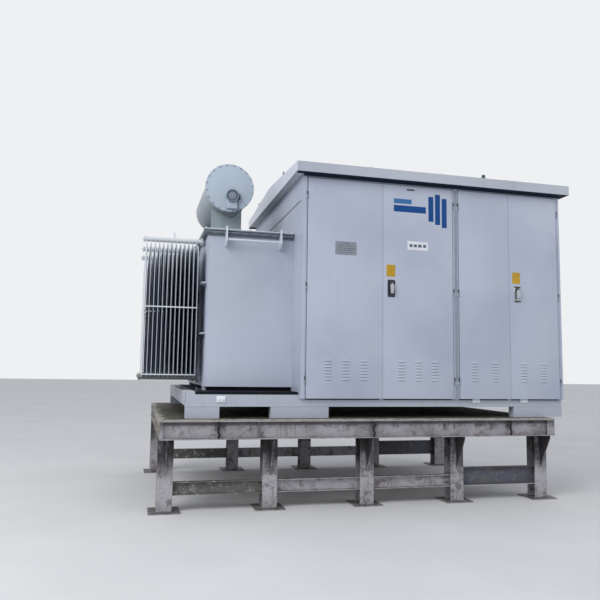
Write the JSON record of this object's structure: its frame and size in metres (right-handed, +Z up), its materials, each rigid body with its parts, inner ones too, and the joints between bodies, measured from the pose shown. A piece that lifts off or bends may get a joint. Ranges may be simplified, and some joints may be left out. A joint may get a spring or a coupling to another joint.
{
  "type": "power transformer",
  "caption": "Oil-filled power transformer with radiator banks, conservator and a hinged-door switchgear enclosure, on a welded steel transport stand.",
  "frame": {"origin": "at ground level under the middle of the outline", "axes": "+X runs along the front from the radiators to the enclosure, +Y from the door side to the back, +Z up"},
  "size_m": [4.758, 3.024, 3.6953],
  "materials": {
    "stand_steel": "weathered off-white paint with grime and rust",
    "grey_paint": "satin cool grey paint",
    "roof_paint": "satin pale grey paint",
    "conservator_paint": "satin blue-grey paint",
    "radiator_paint": "satin pale grey paint",
    "door_paint": "satin cool grey paint",
    "handle_black": "matt black",
    "handle_metal": "brushed zinc-plated steel",
    "gauge_metal": "satin grey"
  },
  "bodies": {
    "root": {"back_wall": "grey_paint", "base_back_beam": "grey_paint", "base_cross_beam_1": "grey_paint", "base_cross_beam_2": "grey_paint", "base_cross_beam_3": "grey_paint", "base_cross_beam_4": "grey_paint", "base_front_beam": "grey_paint", "base_left_beam": "grey_paint", "base_right_beam": "grey_paint", "conservator_end_plate": "conservator_paint", "conservator_pipe": "conservator_paint", "conservator_saddle_back": "conservator_paint", "conservator_saddle_front": "conservator_paint", "conservator_shell": "conservator_paint", "enclosure_floor": "grey_paint", "front_frame": "grey_paint", "left_wall": "grey_paint", "oil_gauge": "gauge_metal", "radiator_bank_1": "radiator_paint", "radiator_bank_2": "radiator_paint", "radiator_bank_3": "radiator_paint", "right_wall": "grey_paint", "roof": "roof_paint", "stand_back_beam": "stand_steel", "stand_deck": "stand_steel", "stand_front_beam": "stand_steel", "stand_leg_back_1": "stand_steel", "stand_leg_back_2": "stand_steel", "stand_leg_back_3": "stand_steel", "stand_leg_back_4": "stand_steel", "stand_leg_back_5": "stand_steel", "stand_leg_front_1": "stand_steel", "stand_leg_front_2": "stand_steel", "stand_leg_front_3": "stand_steel", "stand_leg_front_4": "stand_steel", "stand_leg_front_5": "stand_steel", "stand_rail_back_1": "stand_steel", "stand_rail_back_2": "stand_steel", "stand_rail_back_3": "stand_steel", "stand_rail_back_4": "stand_steel", "stand_rail_front_1": "stand_steel", "stand_rail_front_2": "stand_steel", "stand_rail_front_3": "stand_steel", "stand_rail_front_4": "stand_steel", "tank_body": "grey_paint", "tank_cover": "grey_paint", "tank_front_rail": "grey_paint"},
    "door_1": {"door_1": "door_paint"},
    "door_2": {"door_2": "door_paint"},
    "door_3": {"door_3": "door_paint"},
    "door_4": {"door_4": "door_paint"},
    "door_2_handle_rotor": {"door_2_handle_rotor": "handle_black"},
    "door_2_handle_lever": {"door_2_handle_lever": "handle_metal"},
    "door_4_handle_rotor": {"door_4_handle_rotor": "handle_black"},
    "door_4_handle_lever": {"door_4_handle_lever": "handle_metal"}
  },
  "joints": [
    {"name": "door_1_hinge", "type": "hinge", "parent": "root", "child": "door_1", "pos_m": [-0.732, -1.3905, 2.242], "axis": [0, 0, -1], "range_deg": [0, 90]},
    {"name": "door_2_hinge", "type": "hinge", "parent": "root", "child": "door_2", "pos_m": [0.944, -1.3905, 2.242], "axis": [0, 0, 1], "range_deg": [0, 90]},
    {"name": "door_3_hinge", "type": "hinge", "parent": "root", "child": "door_3", "pos_m": [1.001, -1.3905, 2.242], "axis": [0, 0, -1], "range_deg": [0, 90]},
    {"name": "door_4_hinge", "type": "hinge", "parent": "root", "child": "door_4", "pos_m": [2.263, -1.3905, 2.242], "axis": [0, 0, 1], "range_deg": [0, 90]},
    {"name": "door_2_handle_turn", "type": "hinge", "parent": "door_2", "child": "door_2_handle_rotor", "pos_m": [0.209, -1.3968, 2.314], "axis": [0, -1, 0], "range_deg": [0, 90]},
    {"name": "door_2_handle_lift", "type": "hinge", "parent": "door_2_handle_rotor", "child": "door_2_handle_lever", "pos_m": [0.209, -1.4158, 2.314], "axis": [-1, 0, 0], "range_deg": [0, 40]},
    {"name": "door_4_handle_turn", "type": "hinge", "parent": "door_4", "child": "door_4_handle_rotor", "pos_m": [1.728, -1.3968, 2.314], "axis": [0, -1, 0], "range_deg": [0, 90]},
    {"name": "door_4_handle_lift", "type": "hinge", "parent": "door_4_handle_rotor", "child": "door_4_handle_lever", "pos_m": [1.728, -1.4158, 2.314], "axis": [-1, 0, 0], "range_deg": [0, 40]}
  ]
}
